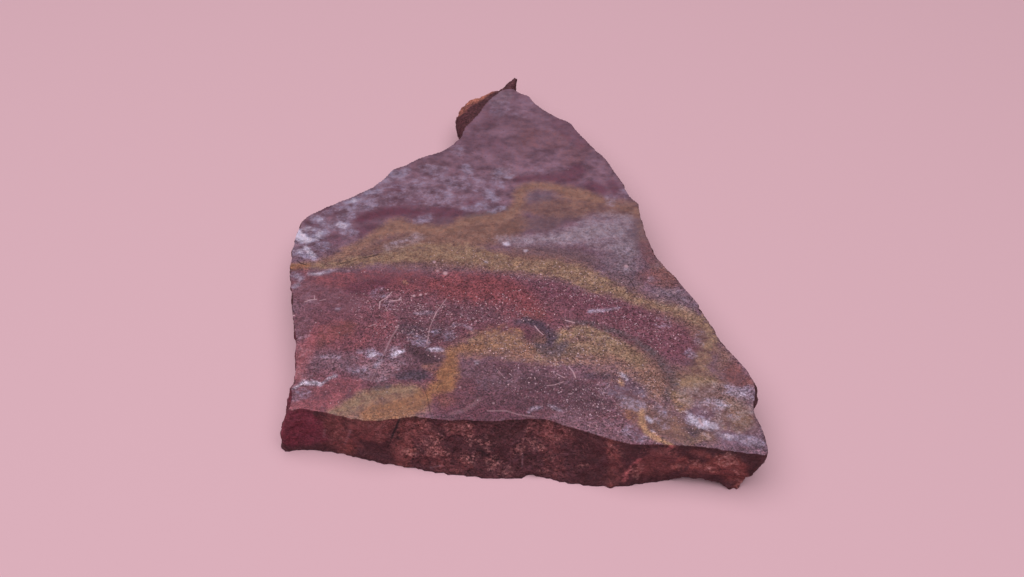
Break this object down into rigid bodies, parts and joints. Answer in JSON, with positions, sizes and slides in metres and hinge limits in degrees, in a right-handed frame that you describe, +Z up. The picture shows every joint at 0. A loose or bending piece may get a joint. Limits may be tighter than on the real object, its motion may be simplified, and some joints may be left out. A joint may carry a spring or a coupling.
{
  "type": "rhyolite slab",
  "caption": "Flat sawn slice of banded rhyolite with a broken edge all round and a pointed end, lying on its underside.",
  "frame": {"origin": "middle of the slab's box on the plane of its underside", "axes": "+Z up out of the upper sawn face, +Y towards the pointed end, +X to the right of it"},
  "size_m": [0.0706, 0.0848, 0.0086],
  "materials": {
    "rhyolite": "satin sawn faces in mauve, wine red and ochre bands with pale flecks; rough dark red-brown broken edge"
  },
  "bodies": {
    "root": {"slab": "rhyolite"}
  },
  "joints": []
}
